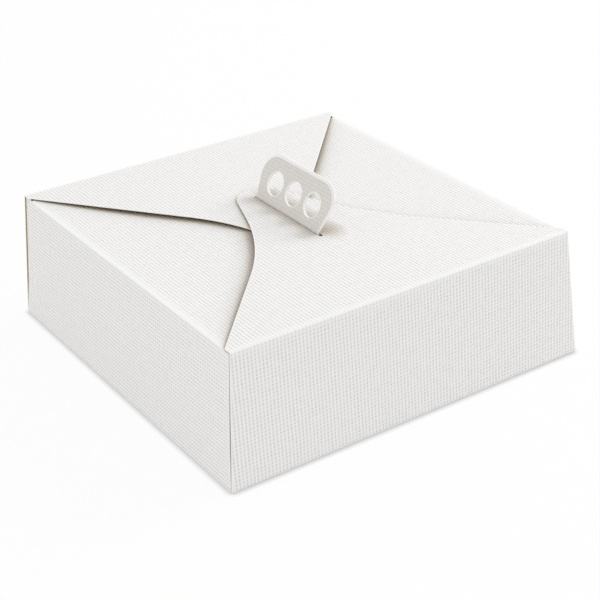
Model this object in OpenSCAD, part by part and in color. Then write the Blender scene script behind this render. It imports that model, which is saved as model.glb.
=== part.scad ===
// Square cake box folded from one sheet of embossed white board. Four flaps close the top,
// and a carrying handle with three finger holes comes up through the slots in two of them.
// The box stands on z = 0 with its middle at x = y = 0. The front wall is at -y.

/* [Box] */
// Width of the base, left to right
box_w = 310; // [240:1:400]
// Depth of the base, front to back
box_d = 310; // [240:1:400]
// Height of the front and back walls
box_h = 101; // [60:1:160]
// Thickness of the board
board_t = 0.8; // [0.6:0.1:1.2]
// How far the front, left and right walls lean in at the top
wall_lean = 8.8; // [0:0.1:12]
// How far the back wall has sprung out past the side walls at the top
back_spring = 8.8; // [2:0.1:14]
// How much lower the side walls are than the front and back walls
side_step = 1.3; // [1.2:0.1:3]

/* [Corners] */
// Width of the open seam at a front corner, at the top and the bottom
seam_end = 0.7; // [0.4:0.1:2]
// Width of that seam where it gapes most
seam_mid = 1.6; // [0.8:0.1:3]
// Height at which it gapes most
seam_mid_h = 32; // [15:1:45]
// Length of the folded web behind each corner
web_l = 48; // [20:1:80]
// Room between the web's top and the side wall's top
web_top_gap = 2.2; // [1.6:0.1:20]
// How much lower the web is at its far end
web_drop = 40; // [0:1:60]

/* [Front flap] */
// Straight part of the flap's sides next to its fold
front_shoulder = 6.5; // [2:0.5:15]
// Distance from the middle line to the point where the sides turn in to the tongue
front_turn_x = 45.5; // [42:0.5:60]
// Distance of that point in front of the middle of the box
front_turn_y = 29.6; // [10:0.1:45]
// Radius of the sides where they turn
front_turn_r = 240; // [60:5:260]
// How far the tongue reaches past the middle of the box
front_reach = 57; // [54:0.5:75]
// Radius of the tongue's end
front_end_r = 21; // [12:0.5:26]

/* [Back flap] */
// Straight part of the flap's sides next to its fold
back_shoulder = 6; // [2:0.5:15]
// Distance from the middle line to the point where the sides turn in to the tongue
back_turn_x = 28; // [24:0.5:45]
// Distance of that point behind the middle of the box
back_turn_y = 13; // [5:0.5:45]
// Radius of the sides where they turn
back_turn_r = 165; // [60:5:200]
// How far the tongue reaches past the middle of the box
back_reach = 57; // [54:0.5:75]
// Radius of the tongue's end
back_end_r = 16; // [10:0.5:20]
// Sideways drift of the flap for each millimetre away from its fold
back_drift = 0.05; // [0:0.01:0.08]

/* [Side flaps] */
// Straight part of the flap's ends next to its fold
side_shoulder = 26; // [12:1:60]
// Room between the flap's front end and the front wall, also kept at its back end
side_end_gap = 0.9; // [0.3:0.1:3]
// How much wider the flap's inner edge is than the handle, at each end
side_margin = 3; // [1:0.5:8]
// How much lower the flap's inner edge is than its fold
side_drop = 1.9; // [1.2:0.1:6]
// How far the flap sags below a straight line, halfway in
side_sag = 2.3; // [0:0.1:5]

/* [Handle] */
// Width of the handle where it leaves the slot
handle_base_w = 82.2; // [76:0.2:84]
// Width of the handle at its widest
handle_top_w = 90.4; // [86:0.2:100]
// Height of the handle's left tab above its bend
handle_h = 36.2; // [34:0.1:55]
// How much taller the right tab is than the left one
right_tab_rise = 2; // [0:0.1:4]
// Radius of the handle's top corners
handle_corner_r = 16; // [6:0.5:17]
// Diameter of a finger hole
finger_hole_d = 18.6; // [14:0.2:22]
// Distance between the middles of two finger holes
finger_hole_pitch = 24.2; // [22.5:0.1:27]
// Height of the finger holes above the bend
finger_hole_h = 16.1; // [12:0.1:25]
// How many degrees the handle leans to the right
handle_lean = 26; // [0:1:40]
// Distance of the handle from the middle line, to the right
handle_x = -2.2; // [-5:0.1:5]
// Distance of the handle behind the middle of the box
handle_y = 1; // [-1.5:0.1:1.5]
// Height of the handle's bend above the front flap
handle_bend_h = 0.5; // [0.3:0.1:3]

/* [Slots] */
// Length of the slots in the front and back flaps
slot_l = 89; // [88:0.5:94]
// Width of the slots
slot_w = 3.8; // [3:0.1:6]

/* [Fits] */
// Room between layers of board that lie on each other
layer_gap = 0.3; // [0.2:0.05:0.6]
// Room at a crease between two pieces
crease_gap = 0.2; // [0.1:0.05:0.4]
// Room between the two tabs of the handle
tab_gap = 0.1; // [0.05:0.05:0.4]

/* [Hidden] */
$fn = 48;
FINGER_HOLES = 3;
TURN_STEPS = 10;
END_STEPS = 14;
SAG_STEPS = 8;
board_color = "#f1f0ed";
flap_color = "#f6f6f4";
handle_color = "#dedbd6";

// Cuts run past a surface by this much, and joined solids sink into each other by it
over = 5;
sink = 0.05;

front_y = -box_d / 2 + wall_lean;
side_x = box_w / 2 - wall_lean;
side_back_y = box_d / 2 - wall_lean;
back_y = side_back_y + back_spring;
side_h = box_h - side_step;
back_drop = (board_t + layer_gap) / (back_y - front_reach);
handle_z = box_h + handle_bend_h;
web_h = side_h - web_top_gap;

// The leaning part of a tab starts this far below the bend, to meet the upright part
bend_lap = (tab_gap / 2 + board_t) * tan(handle_lean) + sink;

// Positions of the walls' outer faces at a height z
function side_face(z) = box_w / 2 - wall_lean * z / box_h;
function front_face(z) = -box_d / 2 + wall_lean * z / box_h;
function side_end(z) = box_d / 2 - wall_lean * z / box_h;
function back_face(z) = box_d / 2 + (back_y - box_d / 2) * z / box_h;

// Depth of a side flap's upper face below the walls' top, at a distance d from its fold
function side_depth(d) =
    let (share = d / side_face(side_h))
    side_step + side_drop * share + 4 * side_sag * share * (1 - share);

function arc(centre, r, from, to, steps) =
    [for (i = [0:steps]) centre + r * [cos(from + (to - from) * i / steps),
                                       sin(from + (to - from) * i / steps)]];
function angle_of(v) = atan2(v.y, v.x);
function unit(v) = v / norm(v);
function outward(v) = [v.y, -v.x];

// Right half of a flap's outline, with its fold on y = 0 and the tongue's end at the top
function tongue_half(half_w, length, shoulder, turn, turn_r, end_r) =
    let (start = [half_w, shoulder],
         end_centre = [0, length - end_r],
         from_end = turn - end_centre,
         touch_angle = angle_of(from_end) + acos(end_r / norm(from_end)),
         touch = end_centre + end_r * [cos(touch_angle), sin(touch_angle)],
         side_way = unit(turn - start),
         tongue_way = unit(touch - turn),
         bend = acos(side_way * tongue_way),
         arc_start = turn - side_way * turn_r * tan(bend / 2),
         arc_centre = arc_start + outward(side_way) * turn_r,
         arc_from = angle_of(-outward(side_way)))
    concat([[half_w, 0], start],
           arc(arc_centre, turn_r, arc_from, arc_from - bend, TURN_STEPS),
           arc(end_centre, end_r, touch_angle, 90, END_STEPS));

function mirrored(points) = [for (i = [len(points) - 1:-1:0]) [-points[i].x, points[i].y]];

// Extrudes a profile given as [x, z] along y, and one given as [y, z] along x
module along_y(points) {
    rotate([90, 0, 0])
        linear_extrude(2 * box_d, center = true)
            polygon(points);
}

module along_x(points) {
    rotate([90, 0, 90])
        linear_extrude(2 * box_w, center = true)
            polygon(points);
}

// Block with the walls' slopes from height z0 to z1, set in from their outer faces
module sloped_block(inset, z0, z1) {
    intersection() {
        along_y([[-side_face(z0) + inset, z0], [side_face(z0) - inset, z0],
                 [side_face(z1) - inset, z1], [-side_face(z1) + inset, z1]]);
        along_x([[front_face(z0) + inset, z0], [back_face(z0) - inset, z0],
                 [back_face(z1) - inset, z1], [front_face(z1) + inset, z1]]);
    }
}

// Cuts that part the side walls from the front and back walls
module corner_seams() {
    top = box_h + over;
    along_x([[front_face(board_t) + board_t, board_t],
             [front_face(board_t) + board_t + seam_end, board_t],
             [front_face(seam_mid_h) + board_t + seam_mid, seam_mid_h],
             [front_face(top) + board_t + seam_end, top],
             [front_face(top) + board_t, top]]);
    along_x([[side_end(board_t) - board_t - seam_end, board_t],
             [back_face(board_t) - board_t, board_t],
             [back_face(top) - board_t, top],
             [side_end(top) - seam_end, top]]);
}

module walls() {
    difference() {
        sloped_block(0, 0, box_h);
        sloped_block(board_t, board_t, box_h + over);
        corner_seams();
        // The side and back walls end in their flaps, the side walls lower down
        translate([-box_w, front_y + board_t, side_h - board_t + sink])
            cube([2 * box_w, back_y - front_y - 2 * board_t, 2 * over]);
        translate([-box_w, back_y - over, box_h - board_t + sink])
            cube([2 * box_w, 2 * over, over]);
        // Mitre under the front flap's crease
        along_x([[front_y - over, box_h - crease_gap + over],
                 [front_y + over, box_h - crease_gap - over],
                 [front_y + over, box_h + over]]);
    }
}

// Web folded in behind a corner, along the inside of the right wall
module web(from_front) {
    inset = board_t + layer_gap;
    z0 = inset;
    z1 = web_h - web_drop;
    intersection() {
        along_y([[side_face(z0) - inset - board_t, z0], [side_face(z0) - inset, z0],
                 [side_face(web_h) - inset, web_h],
                 [side_face(web_h) - inset - board_t, web_h]]);
        if (from_front)
            along_x([[front_face(z0) + board_t - sink, z0], [front_face(z0) + web_l, z0],
                     [front_face(z1) + web_l, z1],
                     [front_face(web_h) + board_t - sink, web_h]]);
        else
            along_x([[back_face(z0) - board_t + sink, z0], [back_face(z0) - web_l, z0],
                     [back_face(z1) - web_l, z1],
                     [back_face(web_h) - board_t + sink, web_h]]);
    }
}

module slot() {
    translate([handle_x, 0, box_h - 2 * over])
        linear_extrude(3 * over) {
            square([slot_w, slot_l - slot_w], center = true);
            for (side = [-1, 1])
                translate([0, side * (slot_l - slot_w) / 2])
                    circle(d = slot_w);
        }
}

module back_flap() {
    half = tongue_half(side_x, back_y + back_reach, back_shoulder,
                       [back_turn_x, back_y - back_turn_y], back_turn_r, back_end_r);
    end_y = -back_reach - over;
    end_z = box_h - back_drop * (back_y - end_y);
    difference() {
        intersection() {
            linear_extrude(box_h + over)
                polygon([for (p = concat(half, mirrored(half)))
                    [p.x - back_drift * p.y, back_y - p.y]]);
            along_x([[back_y, box_h], [back_y, box_h - board_t],
                     [end_y, end_z - board_t], [end_y, end_z]]);
        }
        slot();
    }
}

// Flap on the wall at x = side * side_face, reaching in to the handle's crease
module side_flap(side) {
    fold_x = side_face(side_h);
    crease_x = side * handle_x + tab_gap / 2 + board_t + crease_gap;
    top = [for (i = [0:SAG_STEPS])
        let (d = (fold_x - crease_x) * i / SAG_STEPS)
        [side * (fold_x - d), box_h - side_depth(d)]];
    under = [for (i = [SAG_STEPS:-1:0]) top[i] - [0, board_t]];
    inner = handle_base_w / 2 + side_margin;
    end_y = side_back_y - board_t - side_end_gap;
    intersection() {
        linear_extrude(box_h)
            polygon([[side * box_w, -end_y], [side * (fold_x - side_shoulder), -end_y],
                     [side * crease_x, handle_y - inner], [side * crease_x, handle_y + inner],
                     [side * (fold_x - side_shoulder), end_y], [side * box_w, end_y]]);
        along_y(concat(top, under));
    }
}

module box() {
    color(board_color) {
        walls();
        for (from_front = [true, false]) {
            web(from_front);
            mirror([1, 0, 0])
                web(from_front);
        }
        back_flap();
        side_flap(-1);
        side_flap(1);
    }
}

module front_flap() {
    half = tongue_half(side_x, front_reach - front_y, front_shoulder,
                       [front_turn_x, -front_turn_y - front_y], front_turn_r, front_end_r);
    bottom = box_h - board_t;
    color(flap_color)
        difference() {
            intersection() {
                translate([0, front_y, bottom - over])
                    linear_extrude(2 * over)
                        polygon(concat(half, mirrored(half)));
                // The flap's thickness, mitred at its crease
                along_x([[front_y, box_h], [front_y + board_t, bottom],
                         [front_reach + over, bottom], [front_reach + over, box_h]]);
            }
            slot();
        }
}

// Half the outline of a tab above its bend, as [y, height]
function tab_half(tab_h) =
    let (centre = [handle_top_w / 2 - handle_corner_r, tab_h - handle_corner_r],
         from_centre = [handle_base_w / 2, 0] - centre,
         touch = angle_of(from_centre) + acos(handle_corner_r / norm(from_centre)))
    concat([[handle_base_w / 2, 0]],
           arc(centre, handle_corner_r, touch, 90, END_STEPS));

// One of the two tabs that stand back to back, each the end of its side flap
module handle_tab(side) {
    fold_x = side_face(side_h);
    face = side > 0 ? tab_gap / 2 : -tab_gap / 2 - board_t;
    foot_z = box_h - side_depth(fold_x - side * handle_x) - board_t;
    tab_h = side > 0 ? handle_h + right_tab_rise : handle_h;
    // The right tab is on the inside of the bend, so its two parts already meet
    lap = side > 0 ? sink : bend_lap;
    half = concat([[handle_base_w / 2, -lap]], tab_half(tab_h));
    color(handle_color)
        difference() {
            translate([handle_x, handle_y, 0]) {
                // Upright part, a hair narrower than the leaning one
                translate([face, sink - handle_base_w / 2, foot_z])
                    cube([board_t, handle_base_w - 2 * sink, handle_z - foot_z]);
                translate([0, 0, handle_z])
                    rotate([0, handle_lean, 0])
                        translate([face, 0, 0])
                            rotate([90, 0, 90])
                                linear_extrude(board_t)
                                    polygon(concat(half, mirrored(half)));
            }
            for (i = [0:FINGER_HOLES - 1])
                translate([handle_x, handle_y, handle_z])
                    rotate([0, handle_lean, 0])
                        translate([0, (i - (FINGER_HOLES - 1) / 2) * finger_hole_pitch,
                                   finger_hole_h])
                            rotate([0, 90, 0])
                                cylinder(d = finger_hole_d, h = 4 * over, center = true);
        }
}

module left_handle_tab() {
    handle_tab(-1);
}

module right_handle_tab() {
    handle_tab(1);
}

box();
front_flap();
left_handle_tab();
right_handle_tab();
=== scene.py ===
import math

import bmesh
import bpy
import numpy as np
from mathutils import Matrix, Vector
from mathutils.geometry import delaunay_2d_cdt


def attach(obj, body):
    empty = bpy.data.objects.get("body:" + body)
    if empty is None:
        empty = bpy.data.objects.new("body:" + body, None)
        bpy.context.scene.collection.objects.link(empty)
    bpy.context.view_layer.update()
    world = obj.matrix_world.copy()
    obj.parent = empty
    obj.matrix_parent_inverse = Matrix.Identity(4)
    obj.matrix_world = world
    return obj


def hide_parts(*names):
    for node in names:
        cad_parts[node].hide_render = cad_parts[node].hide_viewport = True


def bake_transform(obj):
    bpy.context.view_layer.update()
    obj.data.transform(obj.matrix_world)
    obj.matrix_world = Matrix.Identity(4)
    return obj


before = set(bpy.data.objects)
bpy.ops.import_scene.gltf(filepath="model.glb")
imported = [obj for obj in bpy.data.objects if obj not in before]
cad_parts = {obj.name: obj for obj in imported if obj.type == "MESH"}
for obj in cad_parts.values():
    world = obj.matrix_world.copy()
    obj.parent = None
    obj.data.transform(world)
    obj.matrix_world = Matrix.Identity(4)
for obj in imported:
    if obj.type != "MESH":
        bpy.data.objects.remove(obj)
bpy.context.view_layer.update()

# ---- Sizes, in millimetres, as in the part's source ----

BOX = 310.0
HEIGHT = 101.0
BOARD = 0.8
WALL_LEAN = 8.8
BACK_SPRING = 8.8
SIDE_STEP = 1.3
SEAM_END, SEAM_MID, SEAM_MID_HEIGHT = 0.7, 1.6, 32.0
WEB_LENGTH, WEB_TOP_GAP, WEB_DROP = 48.0, 2.2, 40.0
FRONT = dict(shoulder=6.5, turn=(45.5, 29.6), turn_radius=240.0, reach=57.0, end_radius=21.0)
BACK = dict(shoulder=6.0, turn=(28.0, 13.0), turn_radius=165.0, reach=57.0, end_radius=16.0)
BACK_DRIFT = 0.05
SIDE_SHOULDER, SIDE_END_GAP, SIDE_MARGIN = 26.0, 0.9, 3.0
SIDE_DROP, SIDE_SAG = 1.9, 2.3
HANDLE_BASE, HANDLE_TOP, HANDLE_CORNER = 82.2, 90.4, 16.0
TAB_HEIGHT = {-1: 36.2, 1: 38.2}
HOLE_RADIUS, HOLE_PITCH, HOLE_HEIGHT = 9.3, 24.2, 16.1
HANDLE_LEAN = math.radians(26)
HANDLE_X, HANDLE_Y, BEND_HEIGHT = -2.2, 1.0, 0.5
SLOT_LENGTH, SLOT_WIDTH = 89.0, 3.8
LAYER_GAP, CREASE_GAP, TAB_GAP = 0.3, 0.2, 0.1

FRONT_Y = -BOX / 2 + WALL_LEAN
SIDE_X = BOX / 2 - WALL_LEAN
SIDE_BACK_Y = BOX / 2 - WALL_LEAN
BACK_Y = SIDE_BACK_Y + BACK_SPRING
SIDE_HEIGHT = HEIGHT - SIDE_STEP
BACK_DROP = (BOARD + LAYER_GAP) / (BACK_Y - FRONT["reach"])
SEAM_TOP = HEIGHT + 5
HANDLE_Z = HEIGHT + BEND_HEIGHT

# The board bends round a fold with this radius on its outside
BASE_FOLD, TOP_FOLD, HANDLE_FOLD = 1.1, 1.0, 2.6
# Width of the broken corner along a die-cut edge, and of the rim that the cutting rule presses flat, which is
# drawn whiter, partly as pressed board and partly as a painted highlight
EDGE_BREAK, PRESSED_AND_HIGHLIT_RIM = 0.12, 1.1
# How far a fold's wear and painted highlight reach on the wall and on the flap
SIDE_WEAR_AND_HIGHLIGHT, END_WEAR_AND_HIGHLIGHT = (1.2, 6.0), (1.2, 1.8)
# A back web's first part reaches up to the back flap and closes the corner
WEB_CORNER, WEB_START = 8.0, 0.1

# How far a profile runs on past the end of the sheet that is cut from it
RUN_ON = 1.0

# How finely the meshes are drawn: points along edges and faces, and steps round folds and up walls
MESH_STEP, HANDLE_STEP, HOLE_STEP = 5.0, 2.5, 2.5
FOLD_STEPS, WALL_STEPS, SAG_STEPS = 8, 11, 16
SLOT_STEPS, TURN_STEPS, END_STEPS, TAB_STEPS, RING_STEPS = 10, 16, 20, 18, 56
# Points keep this far from each other along an edge, from a fold's rows, and from the whitened rim
EDGE_SPACING, ROW_SPACING, RIM_SPACING = 0.02, 0.6, 0.4
# Points of the whitened rim that come nearer to an edge than this share of its width are left out
RIM_SHARE = 0.6
# Edges that turn more sharply than this are shaded as corners
CORNER_ANGLE = math.radians(32)


def wall_set_in(z):
    """Distance of a leaning wall's outer face from the base's edge, at a height z."""
    return WALL_LEAN * z / HEIGHT


def seam(z):
    """Width of a front corner's seam at a height z: widest a third of the way up."""
    return np.interp(z, [BOARD, SEAM_MID_HEIGHT, SEAM_TOP], [SEAM_END, SEAM_MID, SEAM_END])


def side_depth(d):
    """Depth of a side flap's face below the walls' top, at a distance d from its fold."""
    share = d / (BOX / 2 - wall_set_in(SIDE_HEIGHT))
    return SIDE_STEP + SIDE_DROP * share + 4 * SIDE_SAG * share * (1 - share)


# ---- Outlines of the blank ----


def arc(centre, radius, start, end, steps):
    return [
        (centre[0] + radius * math.cos(a), centre[1] + radius * math.sin(a))
        for a in np.linspace(start, end, steps + 1)
    ]


def tongue_half(half_width, length, shoulder, turn, turn_radius, end_radius):
    """Right half of a flap's outline, with its fold on the first axis and its tongue's end furthest away."""
    turn, start, centre = np.array(turn), np.array((half_width, shoulder)), np.array((0, length - end_radius))
    away = turn - centre
    touch_angle = math.atan2(away[1], away[0]) + math.acos(end_radius / np.linalg.norm(away))
    touch = centre + end_radius * np.array((math.cos(touch_angle), math.sin(touch_angle)))
    side_way = (turn - start) / np.linalg.norm(turn - start)
    tongue_way = (touch - turn) / np.linalg.norm(touch - turn)
    bend = math.acos(side_way @ tongue_way)
    outward = np.array((side_way[1], -side_way[0]))
    arc_centre = turn - side_way * turn_radius * math.tan(bend / 2) + outward * turn_radius
    first = math.atan2(-outward[1], -outward[0])
    return (
        [(half_width, 0), tuple(start)]
        + arc(arc_centre, turn_radius, first, first - bend, TURN_STEPS)
        + arc(centre, end_radius, touch_angle, math.pi / 2, END_STEPS)
    )


def both_halves(half):
    return half + [(-x, y) for x, y in half[::-1]]


def slot_outline():
    """The slot's outline in the box's own x and y."""
    r, straight = SLOT_WIDTH / 2, (SLOT_LENGTH - SLOT_WIDTH) / 2
    far_end = arc((0, straight), r, 0, math.pi, SLOT_STEPS)
    near_end = arc((0, -straight), r, math.pi, 2 * math.pi, SLOT_STEPS)
    return [(HANDLE_X + x, y) for x, y in far_end + near_end]


# ---- Profiles: how the board runs up a wall and over a fold ----


class Profile:
    """The white face's course in a plane, and its side towards the board's back, by distance along it."""

    def __init__(self, corners, radii, back_on_left=True):
        corners = [np.array(c, float) for c in corners]
        course, self.folds = [corners[0]], []
        for before, corner, after, radius in zip(corners, corners[1:], corners[2:], radii):
            way_in = (corner - before) / np.linalg.norm(corner - before)
            way_out = (after - corner) / np.linalg.norm(after - corner)
            bend = math.acos(np.clip(way_in @ way_out, -1, 1))
            if radius == 0 or bend < 1e-4:
                course.append(corner)
                continue
            run = radius * math.tan(bend / 2)
            across = way_out - way_in * (way_out @ way_in)
            across /= np.linalg.norm(across)
            centre = corner - way_in * run + across * radius
            self.folds.append(len(course))
            for a in np.linspace(0, bend, FOLD_STEPS + 1):
                course.append(centre + radius * (way_in * math.sin(a) - across * math.cos(a)))
            self.folds.append(len(course) - 1)
        course.append(corners[-1])
        self.points = np.array(course)
        steps = np.diff(self.points, axis=0)
        self.at = np.concatenate([[0], np.cumsum(np.linalg.norm(steps, axis=1))])
        ways = steps / np.linalg.norm(steps, axis=1)[:, None]
        ways = np.vstack([ways[:1], ways[:-1] + ways[1:], ways[-1:]])
        ways /= np.linalg.norm(ways, axis=1)[:, None]
        turn = 1 if back_on_left else -1
        self.backs = np.stack([-ways[:, 1], ways[:, 0]], 1) * turn
        self.folds = [self.at[i] for i in self.folds]

    def place(self, distance, depth):
        point = np.stack([np.interp(distance, self.at, self.points[:, i]) for i in (0, 1)], 1)
        back = np.stack([np.interp(distance, self.at, self.backs[:, i]) for i in (0, 1)], 1)
        back /= np.linalg.norm(back, axis=1)[:, None]
        return point + back * np.asarray(depth)[:, None]

    def distance_of(self, value, axis, low, high):
        """Distance along the profile, between low and high, at which a coordinate has a value."""
        inner = (self.at >= low) & (self.at <= high)
        ats, values = self.at[inner], self.points[inner, axis]
        order = np.argsort(values)
        return np.interp(value, values[order], ats[order])


# ---- Board ----


def finer(loop, step, crossings):
    """A closed outline with points no further apart than step, and one wherever it crosses a fold's lines."""
    out = []
    for a, b in zip(loop, loop[1:] + loop[:1]):
        a, b = np.array(a, float), np.array(b, float)
        length = np.linalg.norm(b - a)
        if length < 1e-6:
            continue
        shares = list(np.linspace(0, 1, max(1, math.ceil(length / step)) + 1)[:-1])
        if abs(b[1] - a[1]) > 1e-6:
            shares += [s for s in (np.array(crossings) - a[1]) / (b[1] - a[1]) if 0.001 < s < 0.999]
        last = -1
        for s in sorted(shares):
            if (s - last) * length > EDGE_SPACING:
                out.append(a + (b - a) * s)
                last = s
    return np.array(out)


def set_in(loop, widths):
    """A closed outline moved in by a width at each point. Its inside is on the left."""
    before, after = np.roll(loop, 1, 0), np.roll(loop, -1, 0)
    ways = [(loop - before), (after - loop)]
    ways = [w / np.linalg.norm(w, axis=1)[:, None] for w in ways]
    sides = [np.stack([-w[:, 1], w[:, 0]], 1) for w in ways]
    mitre = sides[0] + sides[1]
    mitre /= np.maximum((mitre * sides[0]).sum(1), 0.5)[:, None]
    return loop + mitre * widths[:, None]


def inside(points, loop):
    """Which points lie inside a closed outline."""
    x, y = points[:, 0], points[:, 1]
    odd = np.zeros(len(points), bool)
    for (ax, ay), (bx, by) in zip(loop, np.roll(loop, -1, 0)):
        if ay == by:
            continue
        crosses = (ay > y) != (by > y)
        odd ^= crosses & (x < (bx - ax) * (y - ay) / (by - ay) + ax)
    return odd


def clearance(points, loops):
    """Distance of each point from the nearest outline."""
    nearest = np.full(len(points), 1e9)
    for loop in loops:
        for a, b in zip(loop, np.roll(loop, -1, 0)):
            d = b - a
            t = np.clip(((points - a) @ d) / (d @ d), 0, 1)
            nearest = np.minimum(nearest, np.linalg.norm(points - a - t[:, None] * d, axis=1))
    return nearest


def counter_clockwise(loop):
    x, y = np.array(loop, float).T
    area = (x * np.roll(y, -1) - y * np.roll(x, -1)).sum()
    return list(loop) if area > 0 else list(loop)[::-1]


def rows_and_columns(rim, folds, step):
    """A grid of points over an outline, with a row on each row of a fold."""
    low, high = rim.min(0), rim.max(0)
    columns, rows = (np.linspace(a, b, max(2, math.ceil((b - a) / step)) + 1) for a, b in zip(low, high))
    rows = [r for r in rows if not len(folds) or min(abs(r - f) for f in folds) > ROW_SPACING]
    rows = np.array(sorted(rows + list(folds)))
    return np.stack([m.ravel() for m in np.meshgrid(columns, rows)], 1)


def on_board(points, rims):
    """Which points lie on the board: inside the first outline and outside the others."""
    keep = inside(points, rims[0])
    for rim in rims[1:]:
        keep &= ~inside(points, rim)
    return keep


def cut_face(loops, breaks, folds, step):
    """Triangles over the face of a sheet, and each rim point's number among the face's points."""
    rims = [set_in(loop, width) for loop, width in zip(loops, breaks)]
    grid = rows_and_columns(rims[0], folds, step)
    grid = grid[on_board(grid, rims)]
    grid = grid[clearance(grid, rims) > PRESSED_AND_HIGHLIT_RIM + RIM_SPACING]
    whitened_rim = [set_in(loop, np.where(width > 0, PRESSED_AND_HIGHLIT_RIM, 0)) for loop, width in zip(loops, breaks)]
    whitened_rim = np.vstack([ring[width > 0] for ring, width in zip(whitened_rim, breaks)])
    whitened_rim = whitened_rim[on_board(whitened_rim, rims)]
    whitened_rim = whitened_rim[clearance(whitened_rim, rims) > RIM_SHARE * PRESSED_AND_HIGHLIT_RIM]
    edges, start = [], 0
    for rim in rims:
        edges += [(start + i, start + (i + 1) % len(rim)) for i in range(len(rim))]
        start += len(rim)
    flat = [Vector(p) for p in np.vstack(rims + [whitened_rim, grid])]
    made = delaunay_2d_cdt(flat, edges, [], 0, 1e-5)
    points = np.array([tuple(p) for p in made[0]])
    faces = np.array([f for f in made[2] if len(f) == 3])
    faces = faces[on_board(points[faces].mean(1), rims)]
    number_of = {old: new for new, olds in enumerate(made[3]) for old in olds}
    return points, faces, number_of


def board(
    name, outline, place, body, node, materials,
    holes=(), folds=(), joins=(), crease=None, step=MESH_STEP, turned=False,
):
    """Cuts board to an outline of the flat blank and puts it in place.
    place(points, depths) gives the place of points of the blank at depths below the white face.
    folds are the rows that the fold's curve needs.
    The edges on the rows in joins meet the next piece and aren't broken.
    The grain runs the same way over the whole sheet, so it is turned on the pieces that fold to the sides."""
    loops = [counter_clockwise(outline)] + [counter_clockwise(h)[::-1] for h in holes]
    loops = [finer(loop, min(step, HOLE_STEP) if i else step, folds) for i, loop in enumerate(loops)]
    breaks = []
    for loop in loops:
        width = np.full(len(loop), EDGE_BREAK)
        for row in joins:
            width[abs(loop[:, 1] - row) < 1e-4] = 0
        breaks.append(width)
    points, faces, number_of = cut_face(loops, breaks, folds, step)

    # The face, the back, and round each outline two rings that give the broken edges
    n = len(points)
    blank, depth = [points, points], [np.zeros(n), np.full(n, BOARD)]
    rim_share = np.zeros(n)
    quads, base, start = [], 2 * n, 0
    for loop, width in zip(loops, breaks):
        m = len(loop)
        top = [number_of[start + i] for i in range(m)]
        upper, lower = list(range(base, base + m)), list(range(base + m, base + 2 * m))
        blank += [loop, loop]
        depth += [width, BOARD - width]
        rim_share[top] = width > 0
        for i in range(m):
            j = (i + 1) % m
            for a, b in ((top, upper), (upper, lower), (lower, [t + n for t in top])):
                quads.append((a[i], b[i], b[j], a[j]))
        base += 2 * m
        start += m
    blank, depth = np.vstack(blank), np.concatenate(depth)
    spots = place(blank, depth) / 1000
    polygons = [tuple(int(i) for i in f) for f in np.vstack([faces, faces[:, ::-1] + n])] + quads
    kinds = [0] * len(faces) + [2] * len(faces) + [1] * len(quads)
    sample = faces[len(faces) // 2]
    a, b, c = spots[sample]
    into = spots[sample + n].mean(0) - spots[sample].mean(0)
    if np.dot(np.cross(b - a, c - a), into) > 0:
        polygons = [p[::-1] for p in polygons]

    mesh = bpy.data.meshes.new(name)
    mesh.from_pydata([tuple(p) for p in spots], [], polygons)
    mesh.polygons.foreach_set("material_index", kinds)
    for material in materials:
        mesh.materials.append(material)
    corner = np.zeros(len(mesh.loops), int)
    mesh.loops.foreach_get("vertex_index", corner)
    sheet = blank[:, ::-1] if turned else blank
    layer = mesh.uv_layers.new(name="blank")
    layer.uv.foreach_set("vector", (sheet[corner] / 1000).astype(np.float32).ravel())
    # Wear and painted highlight along the folds and on the rim of each cut edge
    worn_and_highlit = crease(blank) if crease else np.zeros(len(blank))
    worn_and_highlit[:n] = np.maximum(worn_and_highlit[:n], rim_share)
    mesh.attributes.new("crease", "FLOAT", "POINT").data.foreach_set("value", worn_and_highlit.astype(np.float32))
    work = bmesh.new()
    work.from_mesh(mesh)
    bmesh.ops.remove_doubles(work, verts=work.verts, dist=1e-7)
    bmesh.ops.dissolve_degenerate(work, edges=work.edges, dist=1e-8)
    work.to_mesh(mesh)
    work.free()
    mesh.shade_smooth()
    mesh.set_sharp_from_angle(angle=CORNER_ANGLE)

    piece = bpy.data.objects.new(name, mesh)
    bpy.context.scene.collection.objects.link(piece)
    if body:
        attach(piece, body)
    if node:
        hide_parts(node)
    return piece


def fold_wear_and_highlight(row, widths):
    """Wear and painted highlight: 1 on a fold's row of the blank and its mirror image, falling to 0 over a
    width on either side.
    """
    wall_side, flap_side = widths

    def share(blank):
        past = abs(blank[:, 1]) - abs(row)
        return np.clip(1 - np.where(past > 0, past / flap_side, -past / wall_side), 0, 1)

    return share


# ---- Materials ----


def linear(hex_code):
    """An sRGB hex colour as linear red, green, blue and alpha."""
    parts = [int(hex_code[i : i + 2], 16) / 255 for i in (1, 3, 5)]
    return [p / 12.92 if p <= 0.04045 else ((p + 0.055) / 1.055) ** 2.4 for p in parts] + [1.0]


def add(tree, kind, inputs=None, **settings):
    """Adds a node with its settings.
    An input, by its name or number, takes a link, a node (its first output) or a constant.
    A colour Mix has its two colours on inputs 6 and 7 and its result on output 2."""
    node = tree.nodes.new(kind)
    for name, value in settings.items():
        setattr(node, name, value)
    for name, value in (inputs or {}).items():
        if isinstance(value, bpy.types.Node):
            value = value.outputs[0]
        if isinstance(value, bpy.types.NodeSocket):
            tree.links.new(value, node.inputs[name])
        else:
            node.inputs[name].default_value = value
    return node


def new_material(name):
    material = bpy.data.materials.new(name)
    material.use_nodes = True
    material.node_tree.nodes.clear()
    return material, material.node_tree


# The canvas grain's pitch in millimetres, across and along the sheet, and how far its rows wander
GRAIN_PITCH, GRAIN_WANDER = (2.9, 2.85), 1.1
# How quickly the painted shade between two sheets fades with the opening, and how near the other sheet has to
# be
PAINTED_GAP_SHADE, PAINTED_GAP_REACH = 6.0, 20.0
BOARD_IOR = 1.45


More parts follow.
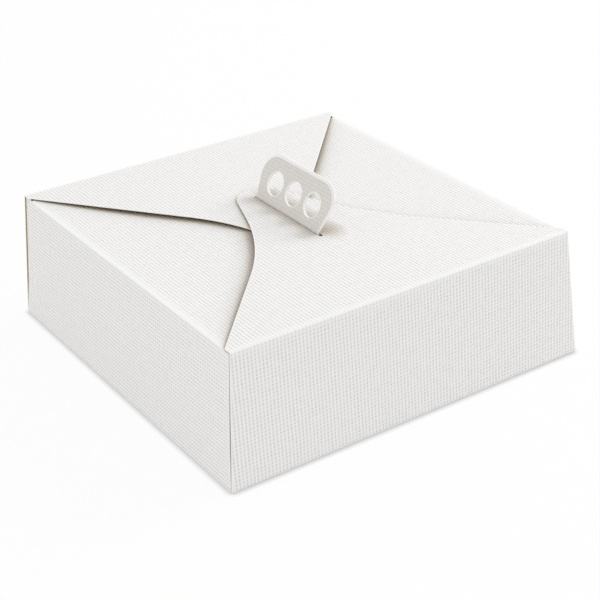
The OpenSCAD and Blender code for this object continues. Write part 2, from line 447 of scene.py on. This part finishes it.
def embossed_board(name, color, pit_shade_color, emboss_mm, mottle, roughness):
    """Folding boxboard with a white coated face, run through a roller that presses in a canvas grain.
    The eye sees a dull white sheet with rows of small pits drawn grey as painted shade. It is flat and whiter
    along each fold and cut, partly from worn board and partly as a painted highlight, and a painted shade
    darkens it where another sheet lies near."""
    material, tree = new_material(name)
    blank = add(tree, "ShaderNodeUVMap", uv_map="blank")
    crease = add(tree, "ShaderNodeAttribute", attribute_name="crease").outputs["Fac"]
    # The rows wander a little, over stretches of about 36 mm, as on a soft roller
    drift = add(tree, "ShaderNodeTexNoise", {"Vector": blank, "Scale": 28.0, "Detail": 2.0}).outputs["Color"]
    wander = [GRAIN_WANDER / 1000] * 3
    moved = add(tree, "ShaderNodeVectorMath", {0: drift, 1: wander, 2: blank}, operation="MULTIPLY_ADD")
    waves = [1000 * 2 * math.pi / pitch for pitch in GRAIN_PITCH]
    turns = add(tree, "ShaderNodeVectorMath", {0: moved, 1: waves + [0.0]}, operation="MULTIPLY")
    parts = add(tree, "ShaderNodeSeparateXYZ", {0: turns})
    warp = add(tree, "ShaderNodeMath", {0: parts.outputs["X"]}, operation="COSINE")
    weft = add(tree, "ShaderNodeMath", {0: parts.outputs["Y"]}, operation="COSINE")
    # Pits where the threads of the canvas cross: deepest there, with a shallow furrow along each row
    crossing = add(tree, "ShaderNodeMath", {0: weft, 1: 0.35, 2: 0.6}, operation="MULTIPLY_ADD")
    furrow = add(tree, "ShaderNodeMath", {0: warp, 1: crossing}, operation="MULTIPLY")
    grain = add(tree, "ShaderNodeMath", {0: weft, 1: 0.15, 2: furrow}, operation="MULTIPLY_ADD")
    # Pressed deeper in some places than in others, in patches of about 6 mm
    uneven = add(tree, "ShaderNodeTexNoise", {"Vector": blank, "Scale": 170.0, "Detail": 2.0})
    press = add(
        tree, "ShaderNodeMapRange",
        {"Value": uneven, "From Min": 0.3, "From Max": 0.7, "To Min": -0.6, "To Max": -1.2},
    )
    kept = add(tree, "ShaderNodeMath", {0: 1.0, 1: crease}, operation="SUBTRACT")
    deep = add(tree, "ShaderNodeMath", {0: press, 1: kept}, operation="MULTIPLY")
    height = add(tree, "ShaderNodeMath", {0: grain, 1: deep}, operation="MULTIPLY")
    # Paper fibres, drawn at 0.7 mm, because their real 0.05 mm is too fine to show
    fibre = add(tree, "ShaderNodeTexNoise", {"Vector": blank, "Scale": 1400.0, "Detail": 3.0})
    surface = add(tree, "ShaderNodeMath", {0: fibre, 1: 0.35, 2: height}, operation="MULTIPLY_ADD")
    bump = add(tree, "ShaderNodeBump", {"Height": surface, "Strength": 1.0, "Distance": emboss_mm / 1000})
    # Painted shade: less light reaches the bottom of a pit, so the pits are drawn in a darker colour
    painted_shade = add(tree, "ShaderNodeMapRange", {"Value": height, "From Min": -1.1, "From Max": 0.3})
    tone = add(tree, "ShaderNodeMix", {0: painted_shade, 6: linear(pit_shade_color), 7: linear(color)}, data_type="RGBA")
    # The coating clouds a little, in spots of about 2.4 mm
    cloud = add(tree, "ShaderNodeTexNoise", {"Vector": blank, "Scale": 420.0, "Detail": 4.0})
    patch = add(
        tree, "ShaderNodeMapRange",
        {"Value": cloud, "From Min": 0.3, "From Max": 0.7, "To Min": 1 - mottle, "To Max": 1.0},
    )
    clouded = add(tree, "ShaderNodeVectorMath", {0: tone.outputs[2], "Scale": patch}, operation="SCALE")
    # Whiter along folds and cut rims: partly flattened, worn board and partly a painted highlight
    folded_and_highlit = add(tree, "ShaderNodeMix", {0: crease, 6: clouded, 7: linear("#fbfbf9")}, data_type="RGBA")
    # Painted shade: where a sheet lies near another, its face is drawn darker and warmer by nearness to the
    # other sheet, in place of the warm shade that the brown backs give the gap
    nearby = add(tree, "ShaderNodeAmbientOcclusion", {"Distance": PAINTED_GAP_REACH / 1000}, samples=8).outputs["AO"]
    open_part = add(tree, "ShaderNodeMath", {0: nearby, 1: PAINTED_GAP_SHADE}, operation="POWER")
    normal = add(tree, "ShaderNodeNewGeometry").outputs["True Normal"]
    facing = add(tree, "ShaderNodeSeparateXYZ", {0: normal})
    upward = add(tree, "ShaderNodeMapRange", {"Value": facing.outputs["Z"], "From Min": 0.5, "From Max": 0.9})
    painted_gap_light = add(tree, "ShaderNodeMix", {0: upward, 2: 1.0, 3: open_part}, data_type="FLOAT")
    painted_gap_tint = add(tree, "ShaderNodeMix", {0: painted_gap_light, 6: linear("#c7bdae"), 7: linear("#ffffff")}, data_type="RGBA")
    both = {0: folded_and_highlit.outputs[2], 1: painted_gap_tint.outputs[2]}
    shaded = add(tree, "ShaderNodeVectorMath", both, operation="MULTIPLY")
    shader = add(
        tree, "ShaderNodeBsdfPrincipled",
        {"Base Color": shaded, "Normal": bump, "Roughness": roughness, "IOR": BOARD_IOR},
    )
    add(tree, "ShaderNodeOutputMaterial", {"Surface": shader})
    return material


def plain_board(name, color, dark, grain_scale, roughness):
    """Uncoated board: the die-cut edge, or the back of the sheet. Its fibres show as a soft mottle, in spots
    of 1.1 mm on the edge and 1.7 mm on the back, because the real 0.05 mm is too fine to show."""
    material, tree = new_material(name)
    blank = add(tree, "ShaderNodeUVMap", uv_map="blank")
    cloud = add(tree, "ShaderNodeTexNoise", {"Vector": blank, "Scale": grain_scale, "Detail": 4.0})
    tone = add(tree, "ShaderNodeMix", {0: cloud, 6: linear(dark), 7: linear(color)}, data_type="RGBA")
    bump = add(tree, "ShaderNodeBump", {"Height": cloud, "Strength": 1.0, "Distance": 0.00002})
    shader = add(
        tree, "ShaderNodeBsdfPrincipled",
        {"Base Color": tone.outputs[2], "Normal": bump, "Roughness": roughness, "IOR": BOARD_IOR},
    )
    add(tree, "ShaderNodeOutputMaterial", {"Surface": shader})
    return material


white_face = embossed_board("embossed_white_boxboard", "#fcfbfa", "#dddcda", 0.2, 0.02, 0.75)
# The handle shows the uncoated side, on which the grain comes through faintly
handle_face = embossed_board("embossed_handle_boxboard", "#e7e3de", "#dcd7d1", 0.04, 0.09, 0.85)
cut_edge = plain_board("die_cut_board_edge", "#fefefd", "#faf9f7", 900.0, 0.85)
board_back = plain_board("uncoated_board_back", "#bd9f75", "#a98a60", 600.0, 0.9)
BOARD_FACES = [white_face, cut_edge, board_back]
HANDLE_FACES = [handle_face, cut_edge, cut_edge]

# ---- Side flaps, side walls and base, one strip across the box ----


def side_profile(side):
    fold_x = BOX / 2 - wall_set_in(SIDE_HEIGHT)
    crease_x = side * HANDLE_X + TAB_GAP / 2 + BOARD + CREASE_GAP
    reach = [fold_x - d for d in np.linspace(0, fold_x - crease_x, SAG_STEPS + 1)]
    corners = [(0, 0), (BOX / 2, 0), (fold_x, SIDE_HEIGHT)]
    corners += [(x, HEIGHT - side_depth(fold_x - x)) for x in reach[1:]]
    return Profile(corners, [BASE_FOLD, TOP_FOLD] + [0] * SAG_STEPS)


side_profiles = {side: side_profile(side) for side in (-1, 1)}


def place_side(points, depths):
    out = np.zeros((len(points), 3))
    for side in (-1, 1):
        here = (points[:, 1] >= 0) == (side > 0)
        spot = side_profiles[side].place(abs(points[here, 1]), depths[here])
        out[here] = np.stack([side * spot[:, 0], points[here, 0], spot[:, 1]], 1)
    return out


def side_edge(side, end):
    """One edge of the strip, from the base's middle out to the flap's inner edge. end is -1 at the front."""
    profile = side_profiles[side]
    base_end, wall_start, wall_end, flap_start = profile.folds
    edge = [(end * (BOX / 2 - BASE_FOLD), base_end)]
    for at in np.linspace(wall_start, wall_end, WALL_STEPS + 1):
        z = profile.place([at], [0])[0, 1]
        if end < 0:
            edge.append((-BOX / 2 + wall_set_in(z) + BOARD + seam(z), at))
        else:
            edge.append((BOX / 2 - wall_set_in(z) - SEAM_END, at))
    flap_end = SIDE_BACK_Y - BOARD - SIDE_END_GAP
    shoulder_x = BOX / 2 - wall_set_in(SIDE_HEIGHT) - SIDE_SHOULDER
    shoulder_at = profile.distance_of(shoulder_x, 0, flap_start, profile.at[-1])
    edge += [(end * flap_end, flap_start), (end * flap_end, shoulder_at)]
    edge.append((HANDLE_Y + end * (HANDLE_BASE / 2 + SIDE_MARGIN), profile.at[-1]))
    return [(y, side * at) for y, at in edge]


board(
    "side_walls_and_flaps",
    side_edge(1, -1) + side_edge(1, 1)[::-1] + side_edge(-1, 1) + side_edge(-1, -1)[::-1],
    place_side, "box_body", "box", BOARD_FACES,
    folds=sorted(side * a for side in (-1, 1) for a in side_profiles[side].at[1:-1]),
    crease=fold_wear_and_highlight(sum(side_profiles[1].folds[2:]) / 2, SIDE_WEAR_AND_HIGHLIGHT), turned=True,
)

# ---- Front wall, its crease and the front flap, cut from one strip ----

front_profile = Profile(
    [(-BOX / 2 + 3 * BASE_FOLD, 0), (-BOX / 2, 0), (FRONT_Y, HEIGHT), (FRONT["reach"] + RUN_ON, HEIGHT)],
    [BASE_FOLD, TOP_FOLD], back_on_left=False,
)
front_base, front_wall_start, front_wall_end, front_flap_start = front_profile.folds
front_wear_and_highlight = fold_wear_and_highlight((front_wall_end + front_flap_start) / 2, END_WEAR_AND_HIGHLIGHT)


def place_front(points, depths):
    spot = front_profile.place(points[:, 1], depths)
    return np.stack([points[:, 0], spot[:, 0], spot[:, 1]], 1)


def wall_outline(profile, start, wall_start, end):
    right = [(BOX / 2 - BASE_FOLD, start)]
    for at in np.linspace(wall_start, end, WALL_STEPS + 1):
        z = profile.place([at], [0])[0, 1]
        right.append((BOX / 2 - wall_set_in(z), at))
    return right


def rows_between(profile, low, high):
    return [a for a in profile.at if low < a < high]


def mirrored(right):
    return right + [(-x, v) for x, v in right[::-1]]


board(
    "front_wall", mirrored(wall_outline(front_profile, front_base, front_wall_start, front_wall_end)),
    place_front, "box_body", "box", BOARD_FACES,
    folds=rows_between(front_profile, front_base, front_wall_end), joins=[front_base, front_wall_end],
    crease=front_wear_and_highlight,
)
crease_strip = [
    (-SIDE_X, front_wall_end), (SIDE_X, front_wall_end),
    (SIDE_X, front_flap_start), (-SIDE_X, front_flap_start),
]
front_crease = board(
    "front_flap_crease", crease_strip,
    place_front, None, None, BOARD_FACES,
    folds=rows_between(front_profile, front_wall_end, front_flap_start),
    joins=[front_wall_end, front_flap_start], crease=front_wear_and_highlight,
)


def front_at(y):
    return float(front_profile.distance_of(y, 0, front_flap_start, front_profile.at[-1]))


front_half = tongue_half(
    SIDE_X, FRONT["reach"] - FRONT_Y, FRONT["shoulder"], (FRONT["turn"][0], -FRONT["turn"][1] - FRONT_Y),
    FRONT["turn_radius"], FRONT["end_radius"],
)
board(
    "front_flap_board",
    [(x, front_flap_start if y == 0 else front_at(FRONT_Y + y)) for x, y in both_halves(front_half)],
    place_front, "front_flap", "front_flap", BOARD_FACES,
    holes=[[(x, front_at(y)) for x, y in slot_outline()]], joins=[front_flap_start], crease=front_wear_and_highlight,
)
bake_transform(front_crease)

# ---- Back wall and back flap, one strip ----

BACK_END = -BACK["reach"] - RUN_ON
back_tip = (BACK_END, HEIGHT - BACK_DROP * (BACK_Y - BACK_END))
back_profile = Profile(
    [(BOX / 2 - 3 * BASE_FOLD, 0), (BOX / 2, 0), (BACK_Y, HEIGHT), back_tip], [BASE_FOLD, TOP_FOLD]
)
back_base, back_wall_start, back_wall_end, back_flap_start = back_profile.folds


def place_back(points, depths):
    spot = back_profile.place(points[:, 1], depths)
    return np.stack([points[:, 0], spot[:, 0], spot[:, 1]], 1)


def back_at(y):
    return float(back_profile.distance_of(y, 0, back_flap_start, back_profile.at[-1]))


back_half = tongue_half(
    SIDE_X, BACK_Y + BACK["reach"], BACK["shoulder"], (BACK["turn"][0], BACK_Y - BACK["turn"][1]),
    BACK["turn_radius"], BACK["end_radius"],
)
back_wall_half = wall_outline(back_profile, back_base, back_wall_start, back_wall_end)
back_flap_outline = [
    (x - BACK_DRIFT * y, back_flap_start if y == 0 else back_at(BACK_Y - y))
    for x, y in both_halves(back_half)
]
board(
    "back_wall_and_flap", back_wall_half + back_flap_outline + [(-x, v) for x, v in back_wall_half[::-1]],
    place_back, "box_body", "box", BOARD_FACES,
    holes=[[(x, back_at(y)) for x, y in slot_outline()]],
    folds=rows_between(back_profile, back_base, back_flap_start + 0.01), joins=[back_base],
    crease=fold_wear_and_highlight((back_wall_end + back_flap_start) / 2, END_WEAR_AND_HIGHLIGHT),
)

# ---- Webs folded in behind the corners ----

WEB_INSET = BOARD + LAYER_GAP
WEB_TOP = SIDE_HEIGHT - WEB_TOP_GAP


def web(name, side, end):
    def place(points, depths):
        z = points[:, 1]
        lean = WALL_LEAN if end < 0 else 0
        y = end * (BOX / 2 - BOARD - points[:, 0] - lean * z / HEIGHT)
        x = side * (BOX / 2 - wall_set_in(z) - WEB_INSET - depths)
        return np.stack([x, y, z], 1)

    outline = [(WEB_START, WEB_INSET), (WEB_LENGTH, WEB_INSET), (WEB_LENGTH, WEB_TOP - WEB_DROP)]
    if end > 0:
        corner_top = HEIGHT - BOARD - LAYER_GAP
        outline += [(WEB_CORNER, WEB_TOP), (WEB_CORNER, corner_top), (WEB_START, corner_top)]
    else:
        outline.append((WEB_START, WEB_TOP))
    # The photo's seams are brown at the front and white at the back
    faces = [board_back, cut_edge, board_back] if end < 0 else BOARD_FACES
    board(name, outline, place, "box_body", "box", faces)


for side, side_name in ((-1, "left"), (1, "right")):
    for end, end_name in ((-1, "front"), (1, "back")):
        web(f"{end_name}_{side_name}_web", side, end)

# ---- Handle: two tabs that stand back to back ----


def tab_profile(side):
    """The tab's white face, up through the slots and over the bend. side is -1 for the left tab."""
    face = side * (TAB_GAP / 2 + BOARD)
    fold_x = BOX / 2 - wall_set_in(SIDE_HEIGHT)
    foot = HEIGHT - side_depth(fold_x - side * HANDLE_X) - BOARD
    way = np.array((math.sin(HANDLE_LEAN), math.cos(HANDLE_LEAN)))
    origin = np.array((HANDLE_X, HANDLE_Z)) + face * np.array((math.cos(HANDLE_LEAN), -math.sin(HANDLE_LEAN)))
    corner_height = (HANDLE_X + face - origin[0]) / way[0]
    corner = origin + way * corner_height
    radius = HANDLE_FOLD if side < 0 else HANDLE_FOLD - TAB_GAP - 2 * BOARD
    reach = TAB_HEIGHT[side] + RUN_ON
    top = origin + way * reach
    profile = Profile([(HANDLE_X + face, foot), corner, top], [radius], back_on_left=side > 0)
    return profile, lambda height: profile.at[-1] - (reach - height)


def handle_tab(name, side, node):
    profile, at = tab_profile(side)

    def place(points, depths):
        spot = profile.place(points[:, 1], depths)
        return np.stack([spot[:, 0], HANDLE_Y + points[:, 0], spot[:, 1]], 1)

    centre = (HANDLE_TOP / 2 - HANDLE_CORNER, TAB_HEIGHT[side] - HANDLE_CORNER)
    away = (HANDLE_BASE / 2 - centre[0], -centre[1])
    touch = math.atan2(away[1], away[0]) + math.acos(HANDLE_CORNER / math.hypot(*away))
    half = [(HANDLE_BASE / 2, 0), (HANDLE_BASE / 2, float(at(0)))]
    half += [(x, float(at(h))) for x, h in arc(centre, HANDLE_CORNER, touch, math.pi / 2, TAB_STEPS)]
    ring = arc((0, 0), HOLE_RADIUS, 0, 2 * math.pi, RING_STEPS)[:-1]
    holes = [[(i * HOLE_PITCH + x, float(at(HOLE_HEIGHT + h))) for x, h in ring] for i in (-1, 0, 1)]
    board(
        name, both_halves(half), place, "box_body", node, HANDLE_FACES,
        holes=holes, folds=list(profile.at[1:-1]), step=HANDLE_STEP, turned=True,
    )


handle_tab("left_tab_board", -1, "left_handle_tab")
handle_tab("right_tab_board", 1, "right_handle_tab")

# ---- Floor, light and camera ----


def white_for_camera(tree):
    """1 for what the camera sees directly, in a reflection or through glass."""
    path = add(tree, "ShaderNodeLightPath").outputs
    direct, glossy, glass = (path[f"Is {kind} Ray"] for kind in ("Camera", "Glossy", "Transmission"))
    seen = add(tree, "ShaderNodeMath", {0: direct, 1: glossy}, operation="MAXIMUM")
    return add(tree, "ShaderNodeMath", {0: seen, 1: glass}, operation="MAXIMUM")


def make_floor():
    """A white sheet just under the box, almost pure white to the camera, with the box's shadow on it and a
    narrow painted contact shade next to the box.
    """
    mesh = bpy.data.meshes.new("floor")
    size, z = 6.0, -0.0002
    corners = [(-size, -size, z), (size, -size, z), (size, size, z), (-size, size, z)]
    mesh.from_pydata(corners, [], [(0, 1, 2, 3)])
    material, tree = new_material("studio_floor")
    shadow_part = add(tree, "ShaderNodeBsdfDiffuse", {"Color": (0.1, 0.1, 0.1, 1)})
    # Painted contact shade: the glow is turned down where the box stands near, in a narrow band next to it
    nearby = add(tree, "ShaderNodeAmbientOcclusion", {"Distance": 0.005}).outputs["AO"]
    painted_shade = add(
        tree, "ShaderNodeMapRange",
        {"Value": nearby, "From Min": 0.5, "To Min": 0.55, "To Max": 0.895},
    )
    glow = add(tree, "ShaderNodeEmission", {"Color": (1, 1, 1, 1), "Strength": painted_shade})
    seen = add(tree, "ShaderNodeAddShader", {0: shadow_part, 1: glow})
    bounce = add(tree, "ShaderNodeBsdfDiffuse", {"Color": (0.86, 0.86, 0.86, 1)})
    shader = add(tree, "ShaderNodeMixShader", {0: white_for_camera(tree), 1: bounce, 2: seen})
    add(tree, "ShaderNodeOutputMaterial", {"Surface": shader})
    mesh.materials.append(material)
    floor = bpy.data.objects.new("floor", mesh)
    bpy.context.scene.collection.objects.link(floor)


def make_world():
    world = bpy.data.worlds.new("studio")
    world.use_nodes = True
    tree = world.node_tree
    tree.nodes.clear()
    seen = add(tree, "ShaderNodeBackground", {"Color": (1, 1, 1, 1), "Strength": 1.0})
    light = add(tree, "ShaderNodeBackground", {"Color": (1, 1, 1, 1), "Strength": 0.83})
    shader = add(tree, "ShaderNodeMixShader", {0: white_for_camera(tree), 1: light, 2: seen})
    add(tree, "ShaderNodeOutputWorld", {"Surface": shader})
    bpy.context.scene.world = world


def softbox(name, place, aim, size, watts):
    lamp = bpy.data.lights.new(name, "AREA")
    lamp.shape, lamp.size, lamp.size_y, lamp.energy = "RECTANGLE", size[0], size[1], watts
    lamp_object = bpy.data.objects.new(name, lamp)
    bpy.context.scene.collection.objects.link(lamp_object)
    lamp_object.location = place
    lamp_object.rotation_euler = (Vector(aim) - Vector(place)).to_track_quat("-Z", "Y").to_euler()


def make_camera():
    # Fitted to the box's corners in the photo
    place = (-0.5548, -0.8299, 0.5716)
    azimuth, elevation, roll = (math.radians(a) for a in (-34.11, 28.60, -1.27))
    level = Vector((math.sin(azimuth), -math.cos(azimuth), 0)) * math.cos(elevation)
    back = level + Vector((0, 0, math.sin(elevation)))
    right = (-back).cross(Vector((0, 0, 1))).normalized()
    up = right.cross(-back)
    turned_right = right * math.cos(roll) + up * math.sin(roll)
    turned_up = up * math.cos(roll) - right * math.sin(roll)
    camera = bpy.data.objects.new("camera", bpy.data.cameras.new("camera"))
    bpy.context.scene.collection.objects.link(camera)
    rotation = Matrix((turned_right, turned_up, back)).transposed().to_4x4()
    camera.matrix_world = Matrix.Translation(place) @ rotation
    camera.data.sensor_width = 36.0
    camera.data.lens = 87.55
    camera.data.clip_start, camera.data.clip_end = 0.01, 50.0
    bpy.context.scene.camera = camera


make_floor()
make_world()
softbox("key", (1.8, -0.2, 1.5), (0, 0, 0.08), (0.8, 0.8), 13.8)
softbox("left_fill", (-1.3, 0.1, 0.05), (0, 0, 0.05), (0.8, 0.1), 0.9)
make_camera()
bpy.context.scene.view_settings.view_transform = "Standard"
